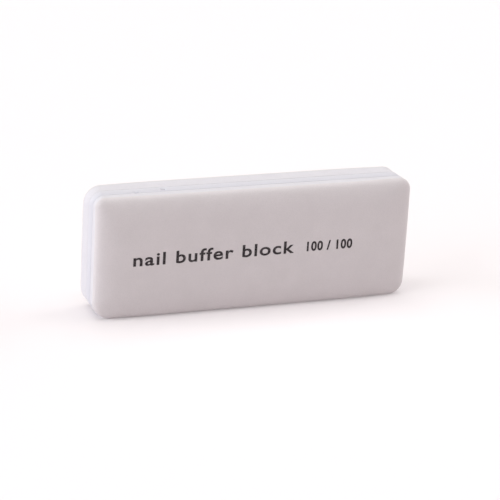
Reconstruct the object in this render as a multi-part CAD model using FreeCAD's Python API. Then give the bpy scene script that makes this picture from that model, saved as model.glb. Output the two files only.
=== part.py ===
# Two-sided nail buffer block: a stiff core board between two soft foam pads, each faced with an
# abrasive sheet. It stands on one long narrow edge, with the origin under the middle of that edge.
# +X runs along the block, -Y points out of the printed front face and +Z is up. Millimetres.
import FreeCAD, Part
import math
import os

LENGTH = 95.0
HEIGHT = 35.5
THICKNESS = 16.0

# The knife leaves each corner of the outline a little different.
BOTTOM_LEFT_RADIUS = 5.6
BOTTOM_RIGHT_RADIUS = 4.4
TOP_RIGHT_RADIUS = 3.7
TOP_LEFT_RADIUS = 3.4

# The broad faces roll over towards the cut side wall and meet it at an angle. The knife enters
# through the front, which pulls the front rim down further than the rear one.
FRONT_ROLL_RADIUS = 3.0
REAR_ROLL_RADIUS = 1.2
ROLL_OVERHANG = 0.1

CORE_THICKNESS = 3.4
CORE_ADHESIVE_THICKNESS = 0.15
SEAM_INSET = 0.3

GRIT_COAT_THICKNESS = 0.30
BACKING_THICKNESS = 0.25
SHEET_ADHESIVE_THICKNESS = 0.12

SIDES = {"front": -1, "rear": 1}
PARTS_FOLDER = "parts"
FLAT_TOLERANCE = 1e-6

BACKING_DEPTH = GRIT_COAT_THICKNESS
SHEET_ADHESIVE_DEPTH = BACKING_DEPTH + BACKING_THICKNESS
PAD_DEPTH = SHEET_ADHESIVE_DEPTH + SHEET_ADHESIVE_THICKNESS
FACE_Y = THICKNESS / 2
CORE_Y = CORE_THICKNESS / 2
PAD_Y = CORE_Y + CORE_ADHESIVE_THICKNESS

# Corners of the outline, anticlockwise from the bottom left: side, level and radius.
CORNERS = (
    (-1, -1, BOTTOM_LEFT_RADIUS),
    (1, -1, BOTTOM_RIGHT_RADIUS),
    (1, 1, TOP_RIGHT_RADIUS),
    (-1, 1, TOP_LEFT_RADIUS),
)


def corner_points(index, side, level, radius, grow, y):
    """First, middle and last point of one corner's arc on the outline grown outwards by grow."""
    centre_x = side * (LENGTH / 2 - radius)
    centre_z = HEIGHT / 2 + level * (HEIGHT / 2 - radius)
    first_angle = math.pi + index * math.pi / 2
    angles = (first_angle, first_angle + math.pi / 4, first_angle + math.pi / 2)
    reach = radius + grow
    return [
        FreeCAD.Vector(centre_x + reach * math.cos(a), y, centre_z + reach * math.sin(a))
        for a in angles
    ]


def outline(grow, y):
    """The block's rounded outline as a wire in the plane at y."""
    arcs = [corner_points(i, *corner, grow, y) for i, corner in enumerate(CORNERS)]
    edges = []
    for arc, following in zip(arcs, arcs[1:] + arcs[:1]):
        edges.append(Part.Arc(*arc).toShape())
        edges.append(Part.LineSegment(arc[-1], following[0]).toShape())
    return Part.Wire(edges)


def prism(grow, low_y, high_y):
    """The outline's solid between two planes across the thickness."""
    return Part.Face(outline(grow, low_y)).extrude(FreeCAD.Vector(0, high_y - low_y, 0))


def lies_at(edge, y):
    """Whether an edge lies in the plane at y."""
    return max(abs(edge.BoundBox.YMin - y), abs(edge.BoundBox.YMax - y)) < FLAT_TOLERANCE


def roll_rim(block, y, radius):
    """The block with the rim of its broad face at y rounded."""
    return block.makeFillet(radius, [edge for edge in block.Edges if lies_at(edge, y)])


def rolled_block():
    """The whole block's outer shape: rolled broad faces inside a straight-cut side wall."""
    blank = prism(ROLL_OVERHANG, -FACE_Y, FACE_Y)
    blank = roll_rim(blank, -FACE_Y, FRONT_ROLL_RADIUS)
    blank = roll_rim(blank, FACE_Y, REAR_ROLL_RADIUS)
    return blank.common(prism(0, -FACE_Y, FACE_Y))


def half_block(side, depth):
    """One side of the block, outside the core adhesive, with its face moved in by depth."""
    moved = rolled_block().translate(FreeCAD.Vector(0, -side * depth, 0))
    low_y, high_y = sorted((side * PAD_Y, side * FACE_Y))
    return moved.common(prism(0, low_y, high_y))


def core_board():
    return prism(0, -CORE_Y, CORE_Y)


def core_adhesive(side):
    """Adhesive film between the core and a pad, held back from the cut wall, which leaves a seam."""
    low_y, high_y = sorted((side * CORE_Y, side * PAD_Y))
    return prism(-SEAM_INSET, low_y, high_y)


def foam_pad(side):
    return half_block(side, PAD_DEPTH)


def sheet(side, depth, thickness):
    """A sheet of even thickness that follows the rolled face, its outer surface at depth."""
    return half_block(side, depth).cut(half_block(side, depth + thickness))


def side_pieces(name, side):
    """The five pieces bonded to one side of the core, by node name."""
    return {
        name + "_core_adhesive": core_adhesive(side),
        name + "_foam_pad": foam_pad(side),
        name + "_sheet_adhesive": sheet(side, SHEET_ADHESIVE_DEPTH, SHEET_ADHESIVE_THICKNESS),
        name + "_abrasive_backing": sheet(side, BACKING_DEPTH, BACKING_THICKNESS),
        name + "_grit_coat": sheet(side, 0, GRIT_COAT_THICKNESS),
    }


def single_solid(shape):
    """The one solid a piece is made of, with no leftover seams on its faces."""
    (solid,) = shape.removeSplitter().Solids
    return solid


def build():
    pieces = {"core_board": core_board()}
    for name, side in SIDES.items():
        pieces.update(side_pieces(name, side))
    os.makedirs(PARTS_FOLDER, exist_ok=True)
    for node, shape in pieces.items():
        single_solid(shape).exportStep(os.path.join(PARTS_FOLDER, node + ".step"))


build()
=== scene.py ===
"""Looks of the nail buffer block: foam pads on a bluish core, with abrasive sheets rolled over the rims.

Every piece is a stack of loops that run round the block, with a cap on each end. Lengths are in metres.
"""
import math

import bpy
import numpy as np
from mathutils import Matrix, Vector, noise
from mathutils.geometry import delaunay_2d_cdt


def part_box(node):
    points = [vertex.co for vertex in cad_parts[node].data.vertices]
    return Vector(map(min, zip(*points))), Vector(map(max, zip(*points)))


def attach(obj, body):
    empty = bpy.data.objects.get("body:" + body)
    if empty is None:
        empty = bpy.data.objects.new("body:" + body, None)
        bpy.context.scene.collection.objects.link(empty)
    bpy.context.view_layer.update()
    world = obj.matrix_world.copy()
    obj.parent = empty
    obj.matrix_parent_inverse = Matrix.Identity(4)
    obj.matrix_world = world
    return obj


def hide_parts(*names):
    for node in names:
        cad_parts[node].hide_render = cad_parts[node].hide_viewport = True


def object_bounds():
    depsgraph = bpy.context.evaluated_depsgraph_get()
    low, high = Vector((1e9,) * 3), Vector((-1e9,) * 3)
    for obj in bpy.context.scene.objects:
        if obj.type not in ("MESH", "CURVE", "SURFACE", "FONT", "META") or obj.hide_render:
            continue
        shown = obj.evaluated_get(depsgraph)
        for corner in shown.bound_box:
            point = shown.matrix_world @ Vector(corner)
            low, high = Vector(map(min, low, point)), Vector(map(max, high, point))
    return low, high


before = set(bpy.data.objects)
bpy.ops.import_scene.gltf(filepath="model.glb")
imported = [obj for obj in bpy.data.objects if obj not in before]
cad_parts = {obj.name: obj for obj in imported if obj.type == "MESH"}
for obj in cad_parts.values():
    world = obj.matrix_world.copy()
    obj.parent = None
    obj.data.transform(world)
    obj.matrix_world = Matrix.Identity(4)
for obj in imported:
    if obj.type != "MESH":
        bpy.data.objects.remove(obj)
cad_low, cad_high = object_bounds()

MM = 0.001
ROOT = "root"
SIDES = {"front": -1, "rear": 1}

# The block's box. The knife wandered as it cut, so each corner is tighter at the front than at the
# rear: its side, level and radius at the front face and at the rear face. The CAD has their mean.
HALF_LENGTH = cad_high.x
HEIGHT = cad_high.z
MIDDLE_Z = HEIGHT / 2
FACE_Y = cad_high.y
CORNERS = (
    (-1, -1, 5.2 * MM, 6.0 * MM),
    (1, -1, 4.0 * MM, 4.8 * MM),
    (1, 1, 3.3 * MM, 4.1 * MM),
    (-1, 1, 2.0 * MM, 4.8 * MM),
)
CORNER_STEPS = 18
LONG_SIDE_STEPS = 190
SHORT_SIDE_STEPS = 62

# Distances across the thickness, from the middle plane, and the depths of the sheets under a face.
CORE_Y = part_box("core_board")[1].y
PAD_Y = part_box("rear_foam_pad")[0].y
BACKING_DEPTH = FACE_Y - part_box("rear_abrasive_backing")[1].y
SHEET_ADHESIVE_DEPTH = FACE_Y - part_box("rear_sheet_adhesive")[1].y
PAD_DEPTH = FACE_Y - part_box("rear_foam_pad")[1].y
FILM_INSET = cad_high.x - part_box("rear_core_adhesive")[1].x

# The rolled rims: how tightly each turns at the cut wall, and how softly it ends in the face.
ROLL = {
    -1: {"tight": 1.6 * MM, "soft": 34 * MM},
    1: {"tight": 0.5 * MM, "soft": 2.0 * MM},
}
ROLL_EASE = 6
ROLL_START = math.radians(13)
ROLL_STEPS = 20
INNER_CORNER_SHARE = 0.45
END_CROWN = 0.55 * MM
END_CROWN_REACH = 20 * MM
EDGE_CROWN = 0.24 * MM
EDGE_CROWN_REACH = 14 * MM

# Unevenness of the bonded face, always inwards from the plane of the face.
SWELL = 0.035 * MM
SWELL_SIZE = 7 * MM
RIPPLE = 0.012 * MM
RIPPLE_SIZE = 1.6 * MM

# The cut side wall: its hollow, its tears, and the soft lips where foam meets foam at a seam.
WALL_STEPS = 12
WALL_HOLLOW = 0.10 * MM
WALL_TEAR = 0.035 * MM
WALL_TEAR_SIZE = 0.7 * MM
LIP_WIDTH = 0.30 * MM
LIP_STEPS = 4
PAD_LIP = {-1: 0.20 * MM, 1: 0.05 * MM}
CORE_LIP = {-1: 0.12 * MM, 1: 0.04 * MM}
LIP_PATCH_SIZE = 9 * MM
LIP_PATCH_LEAST = 0.35
LIP_PATCH_SPREAD = 1.3
LIP_FADE = 0.6
TEAR_START_SHARE = 0.25
NICKS = (Vector((-35.05 * MM, -1.0 * MM)), Vector((-26.8 * MM, 0.1 * MM)))
NICK_WIDTH = 0.58 * MM
NICK_DEPTH = 1.4 * MM

# Noise: a face, a wall and a lip each read it at their own place, so that no two are alike.
SEED_STEP = Vector((7.3, 3.1, 5.7))
WALL_SEED = 5
LIP_SEED = 9

# The mesh: the spacing of points inside a cap, how far they keep from its edge, and where it creases.
FACE_SPACING = 0.5 * MM
HIDDEN_SPACING = 2.5 * MM
LATTICE_CLEARANCE = 0.6
SNAP_MM = 1e-6
CREASE_ANGLE = math.radians(40)

# The marking on the front face.
TITLE = "nail buffer block"
TITLE_START = Vector((-37.1 * MM, 16.13 * MM))
TITLE_END = Vector((10.9 * MM, 16.56 * MM))
TITLE_HEIGHT = 3.65 * MM
GRIT_NUMBERS = "100 / 100"
GRIT_START = Vector((14.8 * MM, 16.75 * MM))
GRIT_END = Vector((28.9 * MM, 16.75 * MM))
GRIT_HEIGHT = 2.78 * MM
TITLE_SPREAD = 0.018
GRIT_SPREAD = 0.034
LETTER_SPACING = 1.12
INK_DEPTH = 0.12 * MM
INK_PROUD = 0.02 * MM

# Surfaces: sizes of grains and cells, the middle span of a noise, and the spans of other patterns.
NOISE_SPAN = (0.3, 0.7)
NOISE_ROUGHNESS = 0.55
GRAIN_SIZE = 0.20 * MM
GRAIN_RELIEF = {"distance": -0.07 * MM, "strength": 0.6}
GRAIN_GAP_SPAN = (0.15, 0.75)
GRAIN_GAP_SHADE_SHARE = 0.45
RESIN_SIZE = 0.12 * MM
RESIN_RELIEF = {"distance": 0.04 * MM, "strength": 0.5}
GRIT_CLOUD_SIZE = 6 * MM
GRIT_SPECULAR = 0.25
GRIT_ROUGHNESS = (0.72, 0.9)
PAD_CELL_SIZE = 0.16 * MM
CORE_CELL_SIZE = 0.12 * MM
CELL_RELIEF = {"distance": -0.06 * MM, "strength": 0.55}
CELLS_PER_PORE = 3.5
PORE_RELIEF = {"distance": 0.10 * MM, "strength": 0.35}
PORE_SPAN = (0.0, 0.16)
PORE_SHADE_SHARE = 0.55
PAD_CLOUD_SIZE = 5 * MM
FOAM_SPECULAR = 0.2
FOAM_ROUGHNESS = (0.8, 0.95)
FIBRE_SIZE = 0.25 * MM
FIBRE_RELIEF = {"distance": 0.03 * MM}
PAPER_ROUGHNESS = (0.7, 0.85)
STRING_SIZE = 0.6 * MM
STRING_RELIEF = {"distance": 0.05 * MM}
FILM_ROUGHNESS = (0.35, 0.6)
INK_MISSED_SPAN = (0.55, 0.80)
INK_MISSED_SHARE = 0.35
INK_RELIEF = {"distance": -0.05 * MM}
INK_SPECULAR = 0.3
INK_ROUGHNESS = (0.55, 0.75)

# Colours, as linear red, green, blue and alpha.
GRIT_DARK = (0.690, 0.638, 0.642, 1.0)
GRIT_PALE = (0.724, 0.669, 0.674, 1.0)
# Painted shade in the recessed gaps between grains.
GRIT_GAP_SHADE = (0.606, 0.560, 0.565, 1.0)
PAD_PALE = (0.700, 0.671, 0.698, 1.0)
PAD_DARK = (0.671, 0.642, 0.672, 1.0)
# The core's own colour at its rear, and the same colour darkened as painted shade for its front half.
CORE_REAR = (0.688, 0.668, 0.702, 1.0)
CORE_FRONT_SHADED = (0.642, 0.622, 0.664, 1.0)
# Painted shade inside the foam's pores.
FOAM_PORE_SHADE = (0.36, 0.34, 0.37, 1.0)
PAPER_DARK = (0.66, 0.635, 0.64, 1.0)
PAPER_PALE = (0.71, 0.685, 0.69, 1.0)
FILM_DARK = (0.60, 0.575, 0.585, 1.0)
FILM_PALE = (0.68, 0.655, 0.66, 1.0)
INK_BLACK = (0.016, 0.010, 0.012, 1.0)
INK_GAPS = (0.30, 0.27, 0.27, 1.0)
FLOOR_DARK = (0.75, 0.70, 0.705, 1.0)
FLOOR_PALE = (0.76, 0.71, 0.715, 1.0)
WHITE = (1.0, 1.0, 1.0, 1.0)

# The floor.
FLOOR_HALF = 3.0
FLOOR_CLOUD_SIZE = 0.3
FLOOR_GRAIN_SIZE = 10 * MM
FLOOR_RELIEF = {"distance": 0.05 * MM}
FLOOR_ROUGHNESS = 0.9
FLOOR_GLOW = 0.155

# The camera, as it stands to the block.
CAMERA_AZIMUTH = math.radians(-22.36)
CAMERA_ELEVATION = math.radians(19.79)
CAMERA_ROLL = math.radians(3.42)
CAMERA_DISTANCE = 634.8 * MM
CAMERA_TARGET = Vector((0.66 * MM, 0, 15.28 * MM))
CAMERA_LENS = 159.92
CAMERA_CLIP = 10 * MM

# Soft studio light: the direction that each light comes from, its energy and its tint.
SUNS = (
    {"name": "left_light", "towards": (-0.95, -0.10, 0.30), "energy": 2.57, "tint": (0.942, 1.0, 1.055)},
    {"name": "top_light", "towards": (0.0, 0.10, 1.0), "energy": 1.98, "tint": (0.99, 1.0, 0.975)},
    {"name": "right_light", "towards": (1.0, 0.0, 0.30), "energy": 1.74, "tint": (0.98, 1.0, 1.01)},
)
SUN_ANGLE = math.radians(60)
SKY_TINT = (1.0, 0.85, 0.86, 1.0)
SKY_STRENGTH = 0.16


def roll_profile(side):
    """Insets and drops of a rim's curve, from the flat of the face to the cut wall."""
    tight, soft = ROLL[side]["tight"], ROLL[side]["soft"]
    tilts = np.linspace(ROLL_START, math.pi / 2, ROLL_STEPS + 1)
    middles = (tilts[1:] + tilts[:-1]) / 2
    radii = tight + (soft - tight) * (middles * 2 / math.pi) ** ROLL_EASE
    lengths = radii * np.diff(tilts)
    insets = np.append(0, np.cumsum(lengths * np.sin(middles)))
    rises = np.append(0, np.cumsum(lengths * np.cos(middles)))
    return insets[::-1], (rises[-1] - rises)[::-1]


ROLL_WIDTH = {side: roll_profile(side)[0][0] for side in ROLL}
RIM_WIDTH = max(ROLL_WIDTH.values())


def corner_arc(index, side, level, radius, inset):
    """One corner of the outline moved in by inset, as rows of x and z."""
    centre = np.array((
        side * (HALF_LENGTH - inset - radius),
        MIDDLE_Z + level * (MIDDLE_Z - inset - radius),
    ))
    angles = math.pi + (index + np.linspace(0, 1, CORNER_STEPS + 1)) * math.pi / 2
    return centre + radius * np.column_stack((np.cos(angles), np.sin(angles)))


def outline(side, inset, corner_share):
    """The outline at one broad face moved in by inset, its corner radii cut to a share of their own."""
    arcs = []
    for i, (end, level, front_radius, rear_radius) in enumerate(CORNERS):
        radius = front_radius if side < 0 else rear_radius
        arcs.append(corner_arc(i, end, level, radius * corner_share, inset))
    points = []
    for i, arc in enumerate(arcs):
        following = arcs[(i + 1) % len(arcs)]
        steps = SHORT_SIDE_STEPS if i % 2 else LONG_SIDE_STEPS
        share = np.linspace(0, 1, steps + 1)[1:-1, None]
        points += [arc, arc[-1] * (1 - share) + following[0] * share]
    return np.concatenate(points)


OUTER = {side: outline(side, 0, 1) for side in ROLL}
INNER = {side: outline(side, RIM_WIDTH, INNER_CORNER_SHARE) for side in ROLL}
LOOP_COUNT = len(OUTER[1])


def smooth(value):
    """0 to 1 with no corner at either end."""
    value = np.clip(value, 0, 1)
    return value * value * (3 - 2 * value)


def lumps(points, size, seed):
    """Even noise between 0 and 1 at points, with features of about that size."""
    shift = SEED_STEP * seed
    return np.array([0.5 + 0.5 * noise.noise(Vector(point) / size + shift) for point in points])


def loop(inset, y):
    """The outline moved in by inset, at most the rim's width, in the plane at y."""
    moved = np.broadcast_to(inset, LOOP_COUNT)[:, None] / RIM_WIDTH
    rearward = 0.5 + np.broadcast_to(y, LOOP_COUNT)[:, None] / (2 * FACE_Y)
    front, rear = (OUTER[side] * (1 - moved) + INNER[side] * moved for side in (-1, 1))
    flat = front * (1 - rearward) + rear * rearward
    return np.column_stack((flat[:, 0], np.broadcast_to(y, LOOP_COUNT), flat[:, 1]))


def sink(points, side):
    """How far a face lies under its plane: the crown towards the rims, swells and ripples."""
    from_ends = smooth((HALF_LENGTH - np.abs(points[:, 0])) / END_CROWN_REACH)
    from_edges = smooth((MIDDLE_Z - np.abs(points[:, 2] - MIDDLE_Z)) / EDGE_CROWN_REACH)
    crown = END_CROWN * (1 - from_ends) + EDGE_CROWN * (1 - from_edges)
    swell = SWELL * lumps(points, SWELL_SIZE, side)
    ripple = RIPPLE * lumps(points, RIPPLE_SIZE, side)
    return crown + swell + ripple


def sunk(points, side):
    """Points of a face moved in from its plane."""
    moved = points.copy()
    moved[:, 1] -= side * sink(points, side)
    return moved


def roll_loops(side, depth):
    """Loops over the rim of a sheet's surface, from the flat of the face down to the side wall."""
    return [
        sunk(loop(inset, side * (FACE_Y - depth - drop)), side)
        for inset, drop in zip(*roll_profile(side))
    ]


def wall_inset(points, side):
    """How far the cut foam wall lies inside the outline: torn cells, and the core's two nicks."""
    torn = WALL_TEAR * lumps(points, WALL_TEAR_SIZE, side + WALL_SEED)
    on_top = points[:, 2] > HEIGHT - NICK_WIDTH
    for nick in NICKS:
        away = np.linalg.norm(points[:, :2] - np.array(nick), axis=1) / NICK_WIDTH
        torn = torn + on_top * NICK_DEPTH * np.exp(-away * away)
    return torn


def lip_loops(side, y, lip, outward):
    """Loops round the soft lip of a foam edge at a seam in the plane at y, from the wall to the seam."""
    loops = []
    for share in np.linspace(0, 1, LIP_STEPS + 1):
        at = loop(0.0, y + outward * LIP_WIDTH * (1 - share))
        patch = LIP_PATCH_LEAST + LIP_PATCH_SPREAD * lumps(at, LIP_PATCH_SIZE, side + LIP_SEED)
        fade = 1 - LIP_FADE * smooth(1 + at[:, 0] / HALF_LENGTH)
        bend = lip * patch * fade * (1 - math.sqrt(1 - share * share))
        loops.append(loop(bend + wall_inset(at, side), at[:, 1]))
    return loops


def wall_loops(side, start_y, end_y, hollow):
    """Loops down the cut foam wall between two planes, pulled in midway."""
    loops = []
    for share in np.linspace(0, 1, WALL_STEPS + 1)[1:-1]:
        at = loop(0.0, start_y + (end_y - start_y) * share)
        torn = wall_inset(at, side) * smooth(share / TEAR_START_SHARE)
        loops.append(loop(hollow * math.sin(math.pi * share) + torn, at[:, 1]))
    return loops


def inside_depth(flat, inset):
    """How far points of x and z lie inside the loop at inset."""
    half = np.array((HALF_LENGTH, MIDDLE_Z)) - inset
    corner_share = 1 - (1 - INNER_CORNER_SHARE) * inset / RIM_WIDTH
    radii = {(end, level): max(pair) * corner_share for end, level, *pair in CORNERS}
    from_middle = flat - (0, MIDDLE_Z)
    signs = np.where(from_middle < 0, -1, 1)
    radius = np.array([radii[end, level] for end, level in signs])
    past = np.abs(from_middle) - half + radius[:, None]
    outside = np.linalg.norm(np.maximum(past, 0), axis=1)
    return radius - outside - np.minimum(past.max(axis=1), 0)


def lattice(inset, spacing):
    """Staggered rows of points of x and z inside the loop at inset, clear of its edge."""
    row_spacing = spacing * math.sqrt(3) / 2
    columns = np.arange(-HALF_LENGTH, HALF_LENGTH, spacing)
    levels = np.arange(row_spacing, HEIGHT, row_spacing)
    rows = [
        np.column_stack((columns + spacing / 2 * (i % 2), np.full(len(columns), z)))
        for i, z in enumerate(levels)
    ]
    flat = np.concatenate(rows)
    return flat[inside_depth(flat, inset) > spacing * LATTICE_CLEARANCE]


def cap(rim, place, inset, spacing):
    """Inner points and triangles that close a loop. Triangles count the loop's points first."""
    flat = np.concatenate((rim[:, (0, 2)], lattice(inset, spacing)))
    count = len(rim)
    edges = [(i, (i + 1) % count) for i in range(count)]
    scaled = [Vector(point) for point in flat / MM]
    inside_only = 1
    result = delaunay_2d_cdt(scaled, edges, [], inside_only, SNAP_MM)
    faces, originals = result[2], result[3]
    triangles = [[originals[corner][0] for corner in face] for face in faces]
    return place(flat[count:]), triangles


def flat_place(y):
    """Puts points of x and z in the plane at y."""
    return lambda flat: np.column_stack((flat[:, 0], np.full(len(flat), y), flat[:, 1]))


def face_place(side, depth):
    """Puts points of x and z on a sheet's surface at depth under a face."""
    on_plane = flat_place(side * (FACE_Y - depth))
    return lambda flat: sunk(on_plane(flat), side)


def build(name, loops, caps):
    """A closed mesh object from loops in front-to-rear order, and the cap at each end."""
    count = LOOP_COUNT
    blocks = list(loops)
    faces = []
    for level in range(len(loops) - 1):
        for i in range(count):
            here, following = level * count + i, level * count + (i + 1) % count
            faces.append((here, here + count, following + count, following))
    total = count * len(loops)
    for end, (place, inset, spacing) in zip((0, len(loops) - 1), caps):
        points, triangles = cap(loops[end], place, inset, spacing)
        blocks.append(points)
        start, extra = end * count, total - count
        for triangle in triangles:
            corners = [start + v if v < count else extra + v for v in triangle]
            faces.append(corners if end == 0 else corners[::-1])
        total += len(points)
    mesh = bpy.data.meshes.new(name)
    mesh.from_pydata(np.concatenate(blocks).tolist(), [], faces)
    mesh.validate()
    mesh.shade_smooth()
    mesh.set_sharp_from_angle(angle=CREASE_ANGLE)
    piece = bpy.data.objects.new(name, mesh)
    bpy.context.scene.collection.objects.link(piece)
    return piece


def ordered(side, loops, caps):
    """Loops and caps listed from a face inwards, put in front-to-rear order."""
    return (loops, caps) if side < 0 else (loops[::-1], caps[::-1])


def sheet_piece(name, side, depth, thickness, spacing):
    """A sheet that follows the rolled face, cut off at the side wall."""
    outer, inner = roll_loops(side, depth), roll_loops(side, depth + thickness)
    width = ROLL_WIDTH[side]
    caps = [
        (face_place(side, depth), width, spacing),
        (face_place(side, depth + thickness), width, spacing),
    ]
    return build(name, *ordered(side, outer + inner[::-1], caps))


def pad_piece(name, side):
    """A foam pad: rolled under its sheet, hollow down the cut wall and soft at the seam."""
    roll = roll_loops(side, PAD_DEPTH)
    lip = lip_loops(side, side * PAD_Y, PAD_LIP[side], side)
    wall = wall_loops(side, roll[-1][:, 1], side * (PAD_Y + LIP_WIDTH), WALL_HOLLOW)
    caps = [
        (face_place(side, PAD_DEPTH), ROLL_WIDTH[side], HIDDEN_SPACING),
        (flat_place(side * PAD_Y), PAD_LIP[side], HIDDEN_SPACING),
    ]
    return build(name, *ordered(side, roll + wall + lip, caps))


def core_piece(name):
    """The core board, flush with the pads, with a lip at each seam."""
    front = lip_loops(-1, -CORE_Y, CORE_LIP[-1], 1)[::-1]
    rear = lip_loops(1, CORE_Y, CORE_LIP[1], -1)
    wall = wall_loops(0, LIP_WIDTH - CORE_Y, CORE_Y - LIP_WIDTH, WALL_HOLLOW / 2)
    caps = [(flat_place(y), FILM_INSET, HIDDEN_SPACING) for y in (-CORE_Y, CORE_Y)]
    return build(name, front + wall + rear, caps)


def film_piece(name, side):
    """The adhesive film between the core and a pad, held back from the wall."""
    near, far = sorted((side * CORE_Y, side * PAD_Y))
    loops = [loop(FILM_INSET, near), loop(FILM_INSET, far)]
    caps = [(flat_place(y), FILM_INSET, HIDDEN_SPACING) for y in (near, far)]
    return build(name, loops, caps)


def print_piece(name, words, start, end, height, spread):
    """Ink lettering that follows the front face, with its baseline from start to end in x and z."""
    curve = bpy.data.curves.new(name, "FONT")
    curve.body = words
    curve.offset = spread
    curve.space_character = LETTER_SPACING
    text = bpy.data.objects.new(name + "_text", curve)
    bpy.context.scene.collection.objects.link(text)
    bpy.context.view_layer.update()
    mesh = bpy.data.meshes.new_from_object(text)
    bpy.data.objects.remove(text)
    flat = np.array([v.co for v in mesh.vertices])
    low, high = flat.min(axis=0), flat.max(axis=0)
    along = (flat[:, :1] - low[0]) / (high[0] - low[0])
    baseline = np.array(start) * (1 - along) + np.array(end) * along
    rise = flat[:, 1] * height / high[1]
    placed = np.column_stack((baseline[:, 0], np.full(len(flat), -FACE_Y), baseline[:, 1] + rise))
    placed[:, 1] += np.maximum(sink(placed, -1) - INK_PROUD, 0)
    mesh.vertices.foreach_set("co", placed.ravel())
    piece = bpy.data.objects.new(name, mesh)
    bpy.context.scene.collection.objects.link(piece)
    solid = piece.modifiers.new("ink_depth", "SOLIDIFY")
    solid.thickness = INK_DEPTH
    solid.offset = -1
    return piece


class Nodes:
    """Short ways to add shader nodes to one material."""

    def __init__(self, name):
        self.material = bpy.data.materials.new(name)
        self.material.use_nodes = True
        self.tree = self.material.node_tree
        self.shader = self.tree.nodes["Principled BSDF"]
        self.place = self.add("ShaderNodeTexCoord").outputs["Object"]
        self.depth = self.add("ShaderNodeSeparateXYZ", Vector=self.place).outputs["Y"]

    def add(self, kind, settings=None, **sockets):
        """A node with its settings and input sockets: a value is set, and an output is linked."""
        made = self.tree.nodes.new(kind)
        for key, value in (settings or {}).items():
            setattr(made, key, value)
        for key, value in sockets.items():
            self.feed(made, key.replace("_", " "), value)
        return made

    def feed(self, made, socket, value):
        """Sets or links one input socket."""
        target = made.inputs[socket]
        if isinstance(value, bpy.types.NodeSocket):
            self.tree.links.new(value, target)
        else:
            target.default_value = value

    def noise(self, size, detail=3.0):
        """Soft noise with features of about that size."""
        made = self.add("ShaderNodeTexNoise", Vector=self.place, Scale=1 / size, Detail=detail)
        self.feed(made, "Roughness", NOISE_ROUGHNESS)
        return made.outputs["Fac"]

    def cells(self, size):
        """Distance to the middle of the nearest of many scattered cells of that size."""
        made = self.add("ShaderNodeTexVoronoi", Vector=self.place, Scale=1 / size)
        return made.outputs["Distance"]

    def remap(self, value, low, high, new_low, new_high):
        """value stretched from one range to another, and held inside it."""
        made = self.add("ShaderNodeMapRange", Value=value, From_Min=low, From_Max=high)
        self.feed(made, "To Min", new_low)
        self.feed(made, "To Max", new_high)
        return made.outputs["Result"]

    def clouds(self, size):
        """Soft patches of about that size, from 0 to 1."""
        return self.remap(self.noise(size), *NOISE_SPAN, 0.0, 1.0)

    def blend(self, share, first, second):
        """A colour between two colours."""
        made = self.add("ShaderNodeMix", {"data_type": "RGBA"})
        for index, value in ((0, share), (6, first), (7, second)):
            if isinstance(value, bpy.types.NodeSocket):
                self.tree.links.new(value, made.inputs[index])
            else:
                made.inputs[index].default_value = value
        return made.outputs[2]

    def bump(self, height, distance, strength=1.0, under=None):
        """A bump of that depth, on top of another bump."""
        made = self.add("ShaderNodeBump", Height=height, Distance=distance, Strength=strength)
        if under is not None:
            self.tree.links.new(under, made.inputs["Normal"])
        return made.outputs["Normal"]

    def finish(self, tone, roughness, normal):
        """Links the shader and returns the material."""
        self.feed(self.shader, "Base Color", tone)
        self.feed(self.shader, "Roughness", roughness)
        self.feed(self.shader, "Normal", normal)
        return self.material


def grit_material():
    """White abrasive grains in matt resin: pale grains, with painted shade on the recessed resin between
    them.
    """
    made = Nodes("grit_coat")
    grains = made.cells(GRAIN_SIZE)
    resin = made.noise(RESIN_SIZE, 2.0)
    base = made.blend(made.clouds(GRIT_CLOUD_SIZE), GRIT_DARK, GRIT_PALE)
    # Painted shade, deeper towards the gaps between grains.
    gaps = made.remap(grains, *GRAIN_GAP_SPAN, 0.0, GRAIN_GAP_SHADE_SHARE)
    tone = made.blend(gaps, base, GRIT_GAP_SHADE)
    relief = made.bump(grains, **GRAIN_RELIEF)
    relief = made.bump(resin, **RESIN_RELIEF, under=relief)
    made.shader.inputs["Specular IOR Level"].default_value = GRIT_SPECULAR
    return made.finish(tone, made.remap(resin, *NOISE_SPAN, *GRIT_ROUGHNESS), relief)


def foam_material(name, first, second, cell_size, share):
    """Cut foam between two colours: fine open cells, with the larger ones showing as pores in painted
    shade.
    """
    made = Nodes(name)
    cells = made.cells(cell_size)
    pores = made.cells(cell_size * CELLS_PER_PORE)
    base = made.blend(share(made), first, second)
    # Pores darkened as painted shade in their hollows.
    tone = made.blend(made.remap(pores, *PORE_SPAN, PORE_SHADE_SHARE, 0.0), base, FOAM_PORE_SHADE)
    relief = made.bump(cells, **CELL_RELIEF)
    relief = made.bump(pores, **PORE_RELIEF, under=relief)
    made.shader.inputs["Specular IOR Level"].default_value = FOAM_SPECULAR
    return made.finish(tone, made.remap(cells, 0.0, 1.0, *FOAM_ROUGHNESS), relief)


def cloudy(made):
    """Soft patches a few millimetres wide."""
    return made.clouds(PAD_CLOUD_SIZE)


def core_front_shade(made):
    """Painted shade across the core: 0 at its rear seam, rising to 1 in its front half, under the front
    pad's edge.
    """
    return made.remap(made.depth, CORE_Y, -CORE_Y / 3, 0.0, 1.0)


def paper_material():
    """The latex-soaked paper that carries the grains, seen only as a cut edge."""
    made = Nodes("backing_paper")
    fibres = made.noise(FIBRE_SIZE, 5.0)
    tone = made.blend(fibres, PAPER_DARK, PAPER_PALE)
    roughness = made.remap(fibres, *NOISE_SPAN, *PAPER_ROUGHNESS)
    return made.finish(tone, roughness, made.bump(fibres, **FIBRE_RELIEF))


def film_material():
    """Cured adhesive: a thin clear film that looks as pale as the foam behind it."""
    made = Nodes("adhesive_film")
    strings = made.noise(STRING_SIZE, 4.0)
    tone = made.blend(strings, FILM_DARK, FILM_PALE)
    roughness = made.remap(strings, *NOISE_SPAN, *FILM_ROUGHNESS)
    return made.finish(tone, roughness, made.bump(strings, **STRING_RELIEF))


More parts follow.
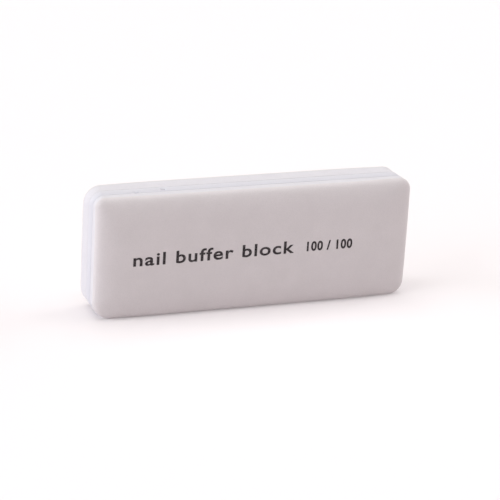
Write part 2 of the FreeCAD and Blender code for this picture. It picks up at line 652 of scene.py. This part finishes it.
def ink_material():
    """Matt ink that lies on the tops of the grains and misses a few gaps between them."""
    made = Nodes("print_ink")
    grains = made.cells(GRAIN_SIZE)
    missed = made.remap(grains, *INK_MISSED_SPAN, 0.0, INK_MISSED_SHARE)
    tone = made.blend(missed, INK_BLACK, INK_GAPS)
    made.shader.inputs["Specular IOR Level"].default_value = INK_SPECULAR
    roughness = made.remap(grains, 0.0, INK_MISSED_SPAN[1], *INK_ROUGHNESS)
    return made.finish(tone, roughness, made.bump(grains, **INK_RELIEF))


def dress(piece, material, slot, *nodes):
    """Gives a piece its material, rides it, and hides the nodes it stands for; its slot is not used."""
    piece.data.materials.clear()
    piece.data.materials.append(material)
    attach(piece, ROOT)
    if nodes:
        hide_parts(*nodes)


def make_block():
    """Every piece of the block, each in place of its CAD node."""
    grit, paper, film, ink = grit_material(), paper_material(), film_material(), ink_material()
    pad_foam = foam_material("pad_foam", PAD_PALE, PAD_DARK, PAD_CELL_SIZE, cloudy)
    # The core foam darkens towards its front half as painted shade.
    core_foam = foam_material("core_foam", CORE_REAR, CORE_FRONT_SHADED, CORE_CELL_SIZE, core_front_shade)
    dress(core_piece("core_board_foam"), core_foam, "core_foam", "core_board")
    for name, side in SIDES.items():
        pad = pad_piece(name + "_pad", side)
        dress(pad, pad_foam, "pad_foam", name + "_foam_pad")
        core_film = film_piece(name + "_core_film", side)
        dress(core_film, film, "adhesive", name + "_core_adhesive")
        layers = (
            ("_sheet_film", SHEET_ADHESIVE_DEPTH, PAD_DEPTH, HIDDEN_SPACING,
             film, "adhesive", "_sheet_adhesive"),
            ("_backing", BACKING_DEPTH, SHEET_ADHESIVE_DEPTH, HIDDEN_SPACING,
             paper, "backing_paper", "_abrasive_backing"),
            ("_grit", 0, BACKING_DEPTH, FACE_SPACING, grit, "grit_coat", "_grit_coat"),
        )
        for ending, depth, under, spacing, material, slot, node in layers:
            sheet = sheet_piece(name + ending, side, depth, under - depth, spacing)
            dress(sheet, material, slot, name + node)
    title = print_piece(
        "front_title_print", TITLE, TITLE_START, TITLE_END, TITLE_HEIGHT, TITLE_SPREAD
    )
    numbers = print_piece(
        "front_grit_print", GRIT_NUMBERS, GRIT_START, GRIT_END, GRIT_HEIGHT, GRIT_SPREAD
    )
    for piece in (title, numbers):
        dress(piece, ink, "print_ink")


def make_camera():
    """A long lens at the block's own viewing angle."""
    sideways, upwards = math.sin(CAMERA_AZIMUTH), math.sin(CAMERA_ELEVATION)
    level = math.cos(CAMERA_ELEVATION)
    back = Vector((sideways * level, -math.cos(CAMERA_AZIMUTH) * level, upwards))
    right = Vector((math.cos(CAMERA_AZIMUTH), sideways, 0))
    up = back.cross(right)
    turned_right = right * math.cos(CAMERA_ROLL) + up * math.sin(CAMERA_ROLL)
    turned_up = up * math.cos(CAMERA_ROLL) - right * math.sin(CAMERA_ROLL)
    lens = bpy.data.cameras.new("camera")
    lens.lens = CAMERA_LENS
    lens.clip_start = CAMERA_CLIP
    camera = bpy.data.objects.new("camera", lens)
    axes = Matrix((turned_right, turned_up, back)).transposed()
    camera.matrix_world = Matrix.LocRotScale(CAMERA_TARGET + back * CAMERA_DISTANCE, axes, None)
    bpy.context.scene.collection.objects.link(camera)
    bpy.context.scene.camera = camera


def make_floor():
    """A wide pale floor."""
    corners = [(x * FLOOR_HALF, y * FLOOR_HALF, 0) for x, y in ((-1, -1), (1, -1), (1, 1), (-1, 1))]
    mesh = bpy.data.meshes.new("floor")
    mesh.from_pydata(corners, [], [(0, 1, 2, 3)])
    made = Nodes("floor")
    tone = made.blend(made.noise(FLOOR_CLOUD_SIZE), FLOOR_DARK, FLOOR_PALE)
    made.shader.inputs["Emission Color"].default_value = WHITE
    made.shader.inputs["Emission Strength"].default_value = FLOOR_GLOW
    relief = made.bump(made.noise(FLOOR_GRAIN_SIZE), **FLOOR_RELIEF)
    mesh.materials.append(made.finish(tone, FLOOR_ROUGHNESS, relief))
    floor = bpy.data.objects.new("floor", mesh)
    bpy.context.scene.collection.objects.link(floor)


def make_sun(name, towards, energy, tint):
    """A wide, soft, distant light that comes from that direction."""
    light = bpy.data.lights.new(name, "SUN")
    light.energy = energy
    light.angle = SUN_ANGLE
    light.color = tint
    lamp = bpy.data.objects.new(name, light)
    lamp.rotation_mode = "QUATERNION"
    lamp.rotation_quaternion = Vector(towards).to_track_quat("Z", "Y")
    bpy.context.scene.collection.objects.link(lamp)


def make_light():
    """Dim warm surroundings, and wide soft lights from the left, the top and the right."""
    world = bpy.data.worlds.new("surroundings")
    world.use_nodes = True
    sky = world.node_tree.nodes["Background"]
    sky.inputs["Color"].default_value = SKY_TINT
    sky.inputs["Strength"].default_value = SKY_STRENGTH
    bpy.context.scene.world = world
    for sun in SUNS:
        make_sun(**sun)
    bpy.context.scene.view_settings.view_transform = "Standard"


make_camera()
make_floor()
make_light()
make_block()
